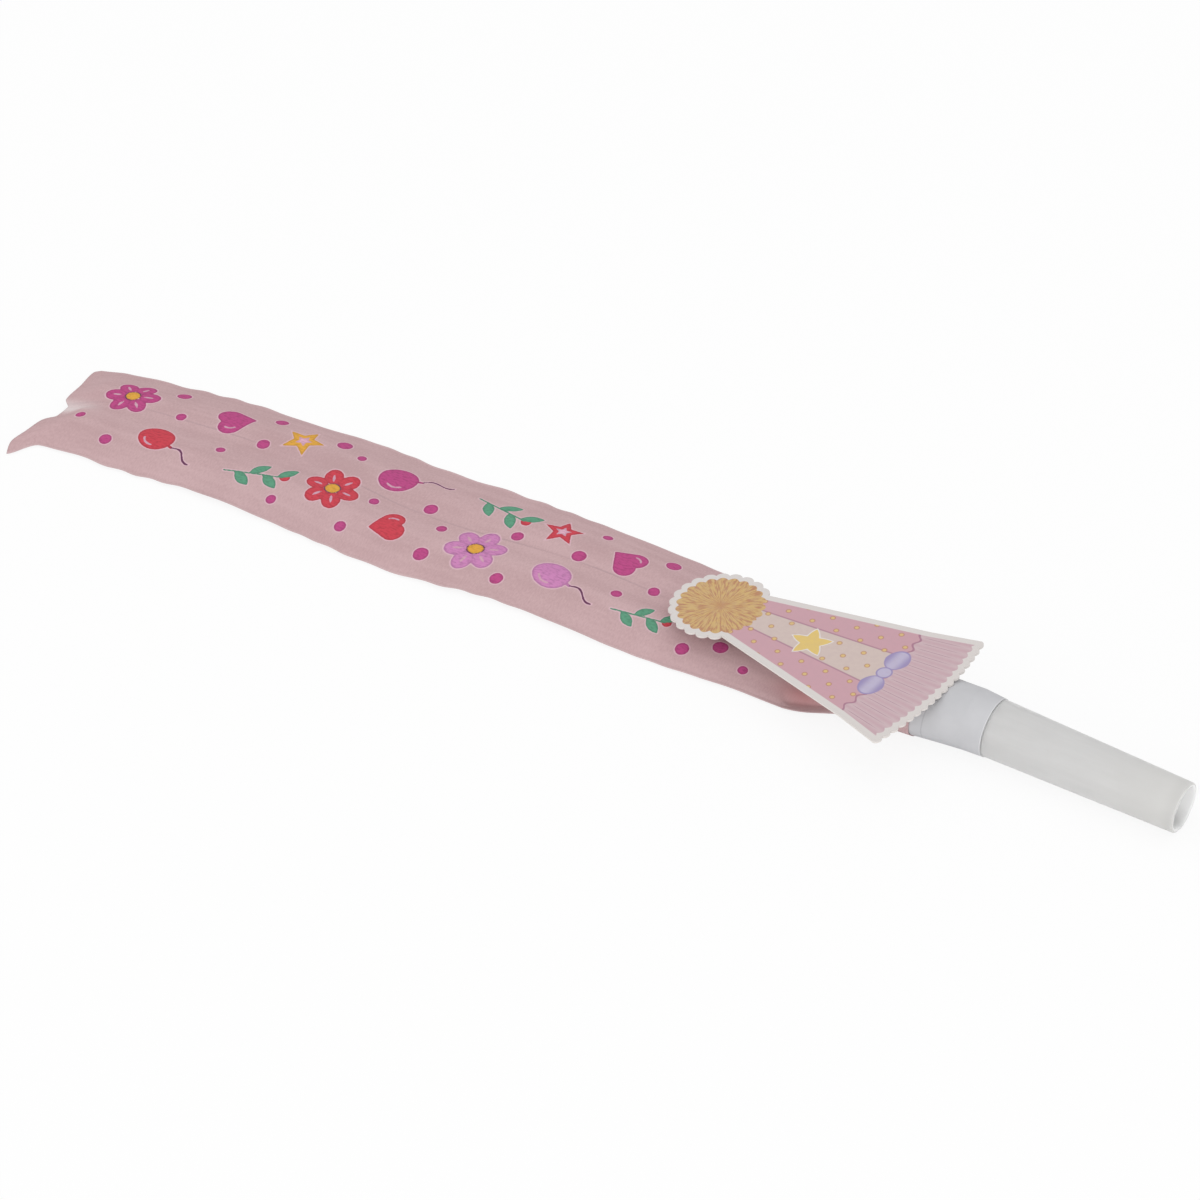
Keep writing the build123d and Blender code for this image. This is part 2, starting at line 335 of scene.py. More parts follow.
def sleevePaper():
    material, bench = newBench("sleevePaper")
    flat = bench.node("ShaderNodeUVMap", {"uv_map": "flat"})  # a tenth of a metre to one
    crepe = bench.speckle(bench.stretch(flat, sleeveLook["crepe"]), 1.0, 5.0, 0.65)
    fibre = bench.speckle(bench.stretch(flat, sleeveLook["fibre"]), 1.0, 3.0)
    folds = bench.speckle(bench.stretch(flat, sleeveLook["folds"]), 1.0, 2.0)
    mottle = bench.speckle(flat, sleeveLook["mottleScale"], 3.0)
    brush = bench.speckle(bench.stretch(flat, sleeveLook["brush"]), 1.0, 4.0)
    wobble = (bench.speckle(flat, sleeveLook["wobbleScale"], 2.0) - 0.5) * sleeveLook["wobble"]
    # tone varies at random with mottle and crepe; the fold noise also paints soft shade along the
    # lengthwise folds
    tone = mottle * 0.2 + crepe * 0.5 + folds * 0.3
    colour = bench.tint(tone.soft(0.36, 0.64), rgb(*sleeveLook["deep"]), rgb(*sleeveLook["paper"]))
    seam = abs(bench.attribute("seamGap") + wobble * 2).soft(*sleeveLook["seamWidth"])
    colour = bench.tint(seam * folds.soft(0.35, 0.6) * 0.55, colour, rgb(*sleeveLook["line"]))
    # painted highlight: a pale sheen in the valley near the far end; the creases are also paler along their
    # edges
    wearAndSheen = bench.attribute("wearAndSheenPaper") * (0.7 + 0.6 * crepe)
    colour = bench.tint(wearAndSheen, colour, rgb(*sleeveLook["wearAndSheen"]))
    colour = bench.tint(bench.attribute("tuckShadePaint"), colour, rgb(*sleeveLook["tuckShade"]))
    edges = {name: bench.attribute(name) + wobble for name in sleeveLook["inks"]}
    nearest = functools.reduce(Wire.least, edges.values())
    halo = nearest.soft(*sleeveLook["haloWidth"])
    colour = bench.tint(halo * 0.75, colour, rgb(*sleeveLook["halo"]))
    for name, edge in edges.items():
        screen = sleeveLook["inks"][name]
        brushed, rimmed = ([sleeveLook[mark] * c for c in screen] for mark in ("brushed", "rimmed"))
        ink = bench.tint(brush.soft(0.42, 0.72), rgb(*screen), rgb(*brushed))
        ink = bench.tint(edge.soft(-0.5, -0.15) * 0.55, ink, rgb(*rimmed))
        colour = bench.tint(edge.soft(sleeveLook["inkBlur"], -sleeveLook["inkBlur"]), colour, ink)
    bench.surface(
        Base_Color=colour,
        Roughness=0.7 + 0.15 * fibre,
        Normal=bench.bump(crepe * 0.55 + fibre * 0.2 + folds * 1.2, 0.3, 0.00014),
        Specular_IOR_Level=0.3,
    )
    return material


# Print motifs, as signed distances in mm from their outlines

def dotGap(u, v, size):
    return np.hypot(u, v) - size


def heartGap(u, v, size):
    a, b = np.abs(v) / size, u / size + 0.55
    lobe = np.hypot(a - 0.25, b - 0.75) - math.sqrt(2) / 4
    slope = np.maximum(a + b, 0) / 2
    side = np.sqrt(np.minimum(a**2 + (b - 1) ** 2, (a - slope) ** 2 + (b - slope) ** 2)) * np.sign(a - b)
    return np.where(a + b > 1, lobe, side) * size


def starGap(u, v, size, points=5, waist=0.46):
    step = math.pi / points
    turn = np.abs((np.arctan2(v, u) + step) % (2 * step) - step)
    reach = np.hypot(u, v)
    a, b = reach * np.cos(turn), reach * np.sin(turn)
    tip, root = (size, 0.0), (size * waist * math.cos(step), size * waist * math.sin(step))
    run, rise = root[0] - tip[0], root[1] - tip[1]
    return ((a - tip[0]) * rise - (b - tip[1]) * run) / math.hypot(run, rise)


def petalGap(u, v, size, petals=6):
    step = math.pi / petals
    turn = (np.arctan2(v, u) + step) % (2 * step) - step
    reach = np.hypot(u, v)
    return np.hypot((reach * np.cos(turn) - 0.62 * size) * 0.85, reach * np.sin(turn)) - 0.33 * size


def leafGap(u, v, length, width):
    inside = np.clip(u / length, 0, 1)
    gap = np.abs(v) - width * np.sin(math.pi * inside) ** 0.8
    return np.where((u < 0) | (u > length), np.hypot(np.where(u < 0, u, u - length), v), gap)


def strokeGap(u, v, start, stop, half):
    along = np.clip((u - start) / (stop - start), 0, 1) * (stop - start) + start
    return np.hypot(u - along, v) - half


# each motif: what it is, place along and across the flat sleeve, size, turn, main ink
sleevePrint = [
    ("daisy", -150.0, 6.0, 6.4, 12, "inkRose"),
    ("balloon", -136.0, -6.5, 5.4, 158, "inkCoral"),
    ("heart", -124.0, 7.5, 7.8, -150, "inkRose"),
    ("sprig", -109.0, -8.0, 15.0, 14, "inkLeaf"),
    ("star", -106.5, 7.5, 5.2, 10, "inkGold"),
    ("daisy", -91.0, -3.5, 6.8, 0, "inkCoral"),
    ("balloon", -80.0, 7.0, 5.6, 200, "inkRose"),
    ("heart", -73.0, -8.0, 7.4, 30, "inkCoral"),
    ("sprig", -53.5, 8.5, 15.0, -14, "inkLeaf"),
    ("daisy", -51.5, -6.0, 6.8, 20, "inkLilac"),
    ("star", -38.0, 8.0, 4.8, 30, "inkCoral"),
    ("balloon", -32.0, -6.5, 5.6, 165, "inkLilac"),
    ("heart", -20.5, 6.5, 7.4, -20, "inkRose"),
    ("sprig", -8.0, -8.5, 14.0, 8, "inkLeaf"),
    ("daisy", 3.0, 7.0, 6.0, 0, "inkCoral"),
]
# each dot: place along and across, radius
sleeveDots = [
    (-157.0, -6.0, 1.3), (-140.5, 12.0, 1.6), (-136.0, 3.5, 1.2), (-146.5, -11.5, 1.5),
    (-121.0, -4.0, 1.1), (-115.5, 12.5, 1.5), (-114.0, 2.5, 1.5), (-101.5, -13.0, 1.2),
    (-98.0, 11.5, 1.8), (-91.5, 9.0, 1.1), (-82.5, -12.5, 1.4), (-80.5, -2.0, 1.2),
    (-68.0, 2.0, 1.6), (-61.5, -12.0, 1.7), (-62.0, -3.0, 1.2), (-46.0, 2.0, 1.4),
    (-42.5, -12.5, 1.5), (-30.5, 2.5, 1.7), (-29.0, 12.5, 1.2), (-16.5, -4.5, 1.3),
    (-11.0, 11.5, 1.8), (-10.0, 1.0, 1.4), (5.0, -12.5, 1.6), (12.5, -8.5, 1.8),
    (20.0, -12.5, 1.2),
]
noInk = 9.0  # mm, further than any ink reaches
penHalf = {"shine": 0.24, "eye": 0.16, "stem": 0.22, "knot": 0.34, "string": 0.25}


# the numbers beside size are shares of the motif's own size
def printGaps(x, across):
    gaps = {name: np.full(len(x), noInk) for name in sleeveLook["inks"]}

    def lay(ink, gap):
        gaps[ink] = np.minimum(gaps[ink], gap)

    def shine(u, v, size):  # short pale curve inside the edge
        turn = np.clip(np.arctan2(v, u), 0.7, 2.0)
        lay("inkBlush", np.hypot(u - size * np.cos(turn), v - size * np.sin(turn)) - penHalf["shine"])

    for along, side, size in sleeveDots:
        lay("inkRose", dotGap(x - along, across - side, size))
    for kind, along, side, size, turn, ink in sleevePrint:
        c, s = math.cos(math.radians(turn)), math.sin(math.radians(turn))
        u, v = (x - along) * c + (across - side) * s, (across - side) * c - (x - along) * s
        if kind == "daisy":
            lay(ink, petalGap(u, v, size))
            for petal in range(6):
                lean = petal * math.pi / 3
                a, b = u * math.cos(lean) + v * math.sin(lean), v * math.cos(lean) - u * math.sin(lean)
                lay("inkBlush", leafGap(a - 0.38 * size, b, 0.4 * size, 0.05 * size))
            lay("inkGold", dotGap(u, v, 0.27 * size))
            lay("inkPlum", np.abs(dotGap(u, v, 0.27 * size)) - penHalf["eye"])
        elif kind == "heart":
            lay(ink, heartGap(u, v, size))
            shine(u - 0.16 * size, v - 0.12 * size, 0.24 * size)
        elif kind == "star":
            lay(ink, starGap(u, v, size))
            lay("inkBlush", starGap(u, v, 0.42 * size))
        elif kind == "sprig":
            lay(ink, strokeGap(u, v, -0.5 * size, 0.42 * size, penHalf["stem"]))
            leafCos, leafSin = 0.74, 0.67
            for step in range(4):
                place = (-0.32 + 0.22 * step) * size
                lean = 1 if step % 2 else -1
                a = (u - place) * leafCos + v * lean * leafSin
                b = v * leafCos - (u - place) * lean * leafSin
                lay(ink, leafGap(a, b, 0.36 * size, 0.085 * size))
            lay("inkCoral", dotGap(u - 0.46 * size, v, 0.08 * size))
        else:
            lay(ink, np.hypot(u / 1.16, v) - 0.72 * size)
            lay(ink, strokeGap(u, v, -1.0 * size, -0.82 * size, penHalf["knot"]))
            string = v - 0.16 * size * np.sin((u + size) * 4.2 / size)
            lay("inkPlum", strokeGap(u, string, -2.3 * size, -1.0 * size, penHalf["string"]))
            shine(u, v, 0.5 * size)
    return gaps


# Sleeve: one paper tube cut at the middle of each rolling length, so that every cut stays shut as it rolls

sleeve = {
    "halfWidth": 18.0,
    "lobe": 3.5,
    "valley": 2.95,
    "crest": 0.38,
    "paper": 0.15,
    "leastGap": 0.3,
    "lensPower": 1.6,
    "creaseInset": 0.6,
    "rowStep": 0.38,
    "innerRowStep": 1.5,
    "aroundSteps": 220,
    "flare": 24.0,
    "cuff": 8.0,
    "ovalHalf": (9.6, 5.6),
    "cuffHalf": (9.0, 6.1),
    "lateEdges": 3.0,
    "seam": [(-170, 0.0), (-140, 0.16), (-100, 0.1), (-60, -0.02), (-20, 0.06), (20, 0.0), (70, 0.0)],
    "seamStep": 0.08,
    "seamBlur": 0.03,
    # waves: height, length, skew across, phase
    "ripples": [(0.1, 8.3, 2.0, 0.0), (0.06, 4.9, -3.1, 1.0)],
    "edgeLift": {"mean": 0.45, "least": 0.05, "waves": [(0.3, 12.0, 1.7, 0.0), (0.15, 5.1, 1.0, 0.0)]},
    "edgeWaves": [(0.18, 6.7, 2.3, 0.0), (0.2, 15.0, -1.0, 0.0)],
    "crinkle": {"height": 0.24, "length": 1.6, "skew": 1.9, "drift": 1.6, "driftLength": 7.0,
                "steady": 0.6, "gust": 0.4, "gustLength": 13.0,
                "calm": 0.7, "calmFrom": -30.0, "calmRun": 40.0},
    "endFade": 17.0,
    "pinchLength": 7.0,
    "dip": {"depth": 1.2, "across": 0.04, "width": 0.13},
    "sealLength": 1.2,
    "sealClear": 0.1,
    "mergeWithin": 1e-4,
    # sideways wander of the middle and the half width, along the length from the far end
    "wander": [(-168, -10.5), (-158, -7.6), (-138, -4.6), (-118, -1.9), (-98, -0.6), (-78, -0.8),
               (-58, 0.5), (-38, 2.5), (-18, 3.0), (4, 2.7), (29, 1.8), (53, 0.0), (70, 0.0)],
    "half": [(-170, 16.2), (-158, 16.0), (-138, 17.2), (-118, 17.8), (-98, 18.1), (-78, 18.5),
             (-58, 18.5), (-38, 17.9), (-18, 17.6), (4, 16.5), (29, 14.0), (70, 14.0)],
    # far end, by place across from the front crease to the back one
    "endHeight": [(-1.0, 0.2), (-0.84, 1.4), (-0.68, 1.8), (-0.5, 2.0), (-0.26, 1.3), (0.0, 1.0),
                  (0.08, 1.7), (0.5, 1.1), (1.0, 0.3)],
    "endNotch": [(-1.0, 1.0), (-0.84, 0.1), (-0.68, 0.9), (-0.5, 1.6), (-0.26, 3.2), (0.0, 3.0),
                 (0.08, 1.5), (0.5, 0.6), (0.88, -0.4), (1.0, 0.9)],
    # groove where the front edge is tucked in under the card
    "tuck": {"from": 30.0, "run": 6.0, "depth": 2.0, "across": -0.85, "width": 0.08},
    # painted shade: a reddish shadow beside that groove, under the card
    "tuckShadeSpot": {"at": 36.0, "run": 7.0, "across": -0.7, "width": 0.16, "shadeShare": 0.75},
    "endFlare": 4.8,
    "flareLength": 6.0,
    "flareFrom": 0.35,
    "neckStraight": 0.35,
    "pleats": {"count": 9, "skew": 0.8, "depth": 1.0, "past": 2.0, "ridge": 0.2},
    "wearAndSheen": {"run": 14.0, "valley": 0.9, "across": -0.05, "width": 0.12, "edge": 0.18, "edgeFrom": 0.965},
    "underShift": -148.0,
    "flatStart": (200.0, 25.0),  # where the unrolled print begins, top side
    "flatUnder": 50.0,
    "flatUnit": 100.0,
}

xCuff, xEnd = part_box("sleeve_base")[1][0] / mm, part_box("sleeve_tip")[0][0] / mm
xOval = xCuff - sleeve["cuff"]
xWide = xOval - sleeve["flare"]


def ease(value):
    value = np.clip(value, 0, 1)
    return value * value * (3 - 2 * value)


def through(value, knots):  # smooth curve through the knots, never past them
    xs, ys = np.array(knots, float).T
    rises = np.diff(ys) / np.diff(xs)
    before, after = np.append(rises[0], rises), np.append(rises, rises[-1])
    slopes = np.zeros(len(xs))
    np.divide(2 * before * after, before + after, out=slopes, where=before * after > 0)
    i = np.clip(np.searchsorted(xs, value) - 1, 0, len(xs) - 2)
    span = xs[i + 1] - xs[i]
    t = np.clip((value - xs[i]) / span, 0, 1)
    rise = (1 + 2 * t) * (1 - t) ** 2 * ys[i] + t * t * (3 - 2 * t) * ys[i + 1]
    return rise + span * (t * (1 - t) ** 2 * slopes[i] - t * t * (1 - t) * slopes[i + 1])


def bell(value, middle, width):
    return np.exp(-((value - middle) / width) ** 2)


def acrossShare(t):  # from -1 at the front crease to 1 at the back one, on either sheet
    return np.where(t <= 0.5, 4 * t - 1, 3 - 4 * t)


def waves(x, q, parts):
    return sum(height * np.sin(x / length + skew * q + phase) for height, length, skew, phase in parts)


def edgeCrinkle(x, side):  # fine crumpling of the creases, calmer towards the neck
    crinkle = sleeve["crinkle"]
    drift = crinkle["drift"] * np.sin(x / crinkle["driftLength"])
    gust = crinkle["steady"] + crinkle["gust"] * np.sin(x / crinkle["gustLength"])
    calm = 1 - crinkle["calm"] * ease((x - crinkle["calmFrom"]) / crinkle["calmRun"])
    return crinkle["height"] * np.sin(x / crinkle["length"] + drift + crinkle["skew"] * side) * gust * calm


def sheetHeights(x, q):
    side = np.abs(q)
    crest, lobe, valley = sleeve["crest"], sleeve["lobe"], sleeve["valley"]
    inner = valley + (lobe - valley) * np.sin(np.clip(side / crest, 0, 1) * math.pi / 2) ** 2
    outer = lobe * (1 - np.clip((side - crest) / (1 - crest), 0, 1) ** sleeve["lensPower"])
    lens = np.where(side < crest, inner, outer)
    seam = sleeve["seamStep"] * ease((q - through(x, sleeve["seam"])) / sleeve["seamBlur"] + 0.5)
    lens = lens + (waves(x, q, sleeve["ripples"]) + seam) * (1 - side**2)
    edgeLift = sleeve["edgeLift"]
    lift = edgeLift["mean"] + waves(x, q, edgeLift["waves"])
    floor = np.maximum(lift, edgeLift["least"]) * side**6
    return floor, floor + lens


def sleevePlace(x, t, inset, seal):
    top = t <= 0.5
    q = acrossShare(t)
    half = through(x, sleeve["half"])
    crease = np.isclose(np.abs(q), 1)
    wave = waves(x, np.sign(q), sleeve["edgeWaves"]) + edgeCrinkle(x, np.sign(q))
    share = q * (1 - (sleeve["creaseInset"] / half if inset else 0))
    floor, roof = sheetHeights(x, share)
    end = ease((xEnd + sleeve["endFade"] - x) / sleeve["endFade"])
    pinch = ease((xEnd + sleeve["pinchLength"] - x) / sleeve["pinchLength"])
    raised = through(q, sleeve["endHeight"])
    dip, tuck = sleeve["dip"], sleeve["tuck"]
    hollow = end * dip["depth"] * bell(q, dip["across"], dip["width"])
    roof = np.maximum(roof - hollow, floor + sleeve["leastGap"])
    roof = roof * (1 - pinch) + (raised + sleeve["paper"]) * pinch
    floor = floor * (1 - pinch) + np.maximum(raised - sleeve["paper"], 0) * pinch
    along = ease((x - tuck["from"]) / tuck["run"])
    groove = tuck["depth"] * along * bell(q, tuck["across"], tuck["width"])
    roof = np.maximum(roof - groove, floor + sleeve["leastGap"])
    floor, roof = floor + inset, roof - inset
    middle = (floor + roof) / 2
    shut = crease | (seal > 0.5)
    z = np.where(shut, middle, np.where(top, roof, floor))
    y = through(x, sleeve["wander"]) + share * (half + wave * np.abs(q) ** 4)
    corner = ease((xEnd + sleeve["flareLength"] - x) / sleeve["flareLength"]) ** 2
    y = y - sleeve["endFlare"] * corner * ease((-q - sleeve["flareFrom"]) / (1 - sleeve["flareFrom"]))
    place = x + through(q, sleeve["endNotch"]) * end**2

    # neck: the flat tube gathers into an oval over the collar, its edges later than its middle
    late = sleeve["lateEdges"] * q**2
    rise = np.clip((x - xWide - late) / (sleeve["flare"] - late), 0, 1)
    neck = sleeve["neckStraight"] * rise + (1 - sleeve["neckStraight"]) * ease(rise)
    over = np.clip((x - xOval) / sleeve["cuff"], 0, 1)
    wide = sleeve["ovalHalf"][0] * (1 - over) + sleeve["cuffHalf"][0] * over
    tall = sleeve["ovalHalf"][1] * (1 - over) + sleeve["cuffHalf"][1] * over
    angle = 2 * math.pi * t
    pleats = sleeve["pleats"]
    pleat = 0.5 - 0.5 * np.cos(pleats["count"] * angle + pleats["skew"] * np.sin(2 * angle))
    gathered = np.clip((x - xWide) / (sleeve["flare"] + pleats["past"]), 0, 1)
    depth = pleats["depth"] * np.sin(math.pi * gathered) ** 2 * (1 - over)
    ridge = pleats["ridge"] * over * np.cos(angle) ** 2
    reach = (ridge - depth) * pleat - inset
    y = y * (1 - neck) - np.cos(angle) * (wide + reach) * neck
    z = z * (1 - neck) + (tall + np.sin(angle) * (tall + reach)) * neck
    return np.column_stack((place, y, z))


# share of the pale tone: a painted highlight in the valley near the far end, and paler crease edges
def wearAndSheenShare(x, q):
    wearAndSheen = sleeve["wearAndSheen"]
    nearEnd = ease((xEnd + wearAndSheen["run"] - x) / wearAndSheen["run"])
    valley = wearAndSheen["valley"] * nearEnd * bell(q, wearAndSheen["across"], wearAndSheen["width"])
    edges = wearAndSheen["edge"] * ease((np.abs(q) - wearAndSheen["edgeFrom"]) / (1 - wearAndSheen["edgeFrom"]))
    return np.clip(valley + edges, 0, 1)


def tuckShadeShare(x, q):  # painted shade: the paper beside the tuck is a deeper red, for the shadow under the card
    tuckShadeSpot = sleeve["tuckShadeSpot"]
    return tuckShadeSpot["shadeShare"] * bell(x, tuckShadeSpot["at"], tuckShadeSpot["run"]) * bell(q, tuckShadeSpot["across"], tuckShadeSpot["width"])


def paperTube(bm, rows, seals, inset, layers):
    steps = sleeve["aroundSteps"]
    grid = bmesh.ops.create_grid(bm, x_segments=len(rows) - 1, y_segments=steps, size=0.5)
    verts = grid["verts"]
    row = np.array([round((v.co.x + 0.5) * (len(rows) - 1)) for v in verts])
    t = np.array([round((v.co.y + 0.5) * steps) / steps for v in verts])
    x = np.array(rows)[row]
    places = sleevePlace(x, t, inset, np.array(seals, float)[row])
    top = t <= 0.5
    q = acrossShare(t)
    across = q * sleeve["halfWidth"]
    # the underside has the same print, shifted along and turned over
    gaps = printGaps(np.where(top, x, sleeve["underShift"] - x), across)
    wearAndSheen = wearAndSheenShare(x, q)
    tuckShade = tuckShadeShare(x, q)
    seamGap = np.where(top, (q - through(x, sleeve["seam"])) * sleeve["halfWidth"], noInk)
    creased = np.isclose(t % 0.5, 0)
    for i, v in enumerate(verts):
        v.co = places[i]
        v[layers["wearAndSheen"]] = wearAndSheen[i]
        v[layers["tuckShade"]] = tuckShade[i]
        v[layers["seam"]] = seamGap[i]
        v[layers["crease"]] = int(creased[i])
        for name, gap in gaps.items():
            v[layers[name]] = gap[i] if inset == 0 else noInk
    index = {v: i for i, v in enumerate(verts)}
    flatX, flatY = sleeve["flatStart"]
    faces = list({f for v in verts for f in v.link_faces})
    for f in faces:
        f.smooth = True
        ids = [index[v] for v in f.verts]
        offset = sleeve["flatUnder"] if t[ids].mean() > 0.5 else 0.0
        for loop, i in zip(f.loops, ids):
            along, aside = x[i] + flatX, across[i] + flatY + offset
            loop[layers["flat"]].uv = (along / sleeve["flatUnit"], aside / sleeve["flatUnit"])
    bmesh.ops.remove_doubles(bm, verts=verts, dist=sleeve["mergeWithin"])
    faces = [f for f in faces if f.is_valid]
    bmesh.ops.recalc_face_normals(bm, faces=faces)
    if inset:
        bmesh.ops.reverse_faces(bm, faces=faces)
    return list(dict.fromkeys(e for f in faces for e in f.edges if e.is_boundary))


def sleevePiece(name, start, stop, material, closed=False):
    outerRows, innerRows = (list(np.linspace(start, stop, 1 + math.ceil((start - stop) / sleeve[step])))
                            for step in ("rowStep", "innerRowStep"))
    bm = bmesh.new()
    layers = {"flat": bm.loops.layers.uv.new("flat"), "wearAndSheen": bm.verts.layers.float.new("wearAndSheenPaper"),
              "tuckShade": bm.verts.layers.float.new("tuckShadePaint"),
              "seam": bm.verts.layers.float.new("seamGap"), "crease": bm.verts.layers.int.new("crease")}
    for ink in sleeveLook["inks"]:
        layers[ink] = bm.verts.layers.float.new(ink)
    if closed:  # the outer end shuts over its own edge, the inner one at the seal
        seal = stop + sleeve["sealLength"]
        outerRows = outerRows + [stop]
        innerRows = [r for r in innerRows if r > seal + sleeve["sealClear"]] + [seal]
    shut = [int(closed)]
    outerRims = paperTube(bm, outerRows, [0] * (len(outerRows) - 1) + shut, 0.0, layers)
    innerRims = paperTube(bm, innerRows, [0] * (len(innerRows) - 1) + shut, sleeve["paper"], layers)
    for e in bm.edges:
        e.smooth = not all(v[layers["crease"]] for v in e.verts)
    for end in [start] if closed else [start, stop]:
        near = (start - stop) / 2
        rims = [e for e in outerRims + innerRims if closed or abs(e.verts[0].co.x - end) < near]
        wall = bmesh.ops.bridge_loops(bm, edges=rims)["faces"]
        for e in {e for f in wall for e in f.edges}:
            e.smooth = False
    bmesh.ops.scale(bm, vec=(mm, mm, mm), verts=bm.verts)
    mesh = bpy.data.meshes.new(name)
    bm.to_mesh(mesh)
    bm.free()
    mesh.materials.append(material)
    piece = bpy.data.objects.new(name, mesh)
    bpy.context.scene.collection.objects.link(piece)
    return piece


pinkPaper = sleevePaper()
rollJoints = [joint for joint in frame["joints"] if joint["child"].startswith("sleeve_")]
rollJoints.sort(key=lambda joint: joint["child"])
hinges = [j["pos_m"][0] / mm for j in rollJoints]
rollLength = hinges[0] - hinges[1]

neckPiece = sleevePiece("sleeve_neck", xCuff, hinges[0] + rollLength / 2, pinkPaper)
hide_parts("sleeve_base")
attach(neckPiece, "horn")
for number, (joint, hinge) in enumerate(zip(rollJoints, hinges), 1):
    cutA, cutB = hinge + rollLength / 2, hinge - rollLength / 2
    piece = sleevePiece(f"sleeve_roll_{number:02d}", cutA, cutB, pinkPaper)
    cutA * mm
    cutB * mm
    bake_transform(piece)
    if number < len(hinges):
        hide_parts(f"sleeve_segment_{number:02d}")
farEnd = sleevePiece("sleeve_far_end", hinges[-1] - rollLength / 2, xEnd, pinkPaper, closed=True)
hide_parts("sleeve_tip")
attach(farEnd, rollJoints[-1]["child"])
print("sleeve built in", len(hinges) + 2, "pieces")


# Topper card: the die-cut plate keeps its node, and its print is laid out in the card's own mm

card = {
    "tilt": 5.14,
    "yaw": 6.0,
    "brim": (63.0, -3.4, 12.6),
    "thickness": 0.5,
    "border": 1.6,
    "scallops": 17,
    "scallopDepth": 0.7,
    "brimHalf": 20.2,
    "brimBulge": 2.4,
    "bandTop": 11.0,
    "bandHalf": 17.0,
    "pompom": (55.4, 10.8),
    "rootAngle": 52.0,
    "tufts": 16,
    "tuftDepth": 0.8,
    "edgeBlur": 0.08,
    "ballBlur": 0.1,
    "faceBlur": (0.12, 0.04),
    "sideLean": 0.96,  # square to the cone's slanting side
    "coneOver": 2.0,
    "grainScale": 900.0,
    "wobbleScale": 420.0,
    "panel": {"shift": 0.04, "half": 0.35, "blur": 0.01},
    "dots": {"pitch": 6.4, "spread": 4.5},
    "star": {"at": 31.0, "points": 5, "waist": 2.3, "arm": 2.4},
    "band": {"depth": 13.0, "frills": 130, "pleats": 38.0},
    "bow": {"at": 11.5, "half": 2.7, "loopAt": 4.4, "loop": 3.9, "nip": 0.22, "nipFrom": 1.9, "nipRun": 2.4,
            "knot": (1.7, 1.8)},
    "strand": {"turns": 5.0, "along": 0.12, "scale": 3.2},
}
cardInks = {
    "white": (214, 208, 205),
    "cream": (222, 216, 212),
    "pink": (199, 156, 166),
    "palePink": (203, 180, 184),
    "foldPink": (196, 164, 172),
    "peach": (205, 187, 180),
    "gold": (205, 172, 112),
    "mauve": (160, 108, 132),
    "orange": (182, 130, 92),
    "lavender": (186, 178, 204),
    "violet": (150, 138, 182),
    "yellow": (222, 192, 112),
    "glint": (214, 184, 120),
    "grain": (176, 150, 156),
}
brimRadius = (card["brimHalf"] ** 2 + card["brimBulge"] ** 2) / (2 * card["brimBulge"])
brimCentre = brimRadius - card["brimBulge"]
brimHalfAngle = math.asin(card["brimHalf"] / brimRadius)
rootTurn = math.radians(180 - card["rootAngle"])
pompomAt, pompomRadius = card["pompom"]
rootPlace = (pompomAt + pompomRadius * math.cos(rootTurn), pompomRadius * math.sin(rootTurn))
coneSlope = (card["bandHalf"] - rootPlace[1]) / (rootPlace[0] - card["bandTop"])


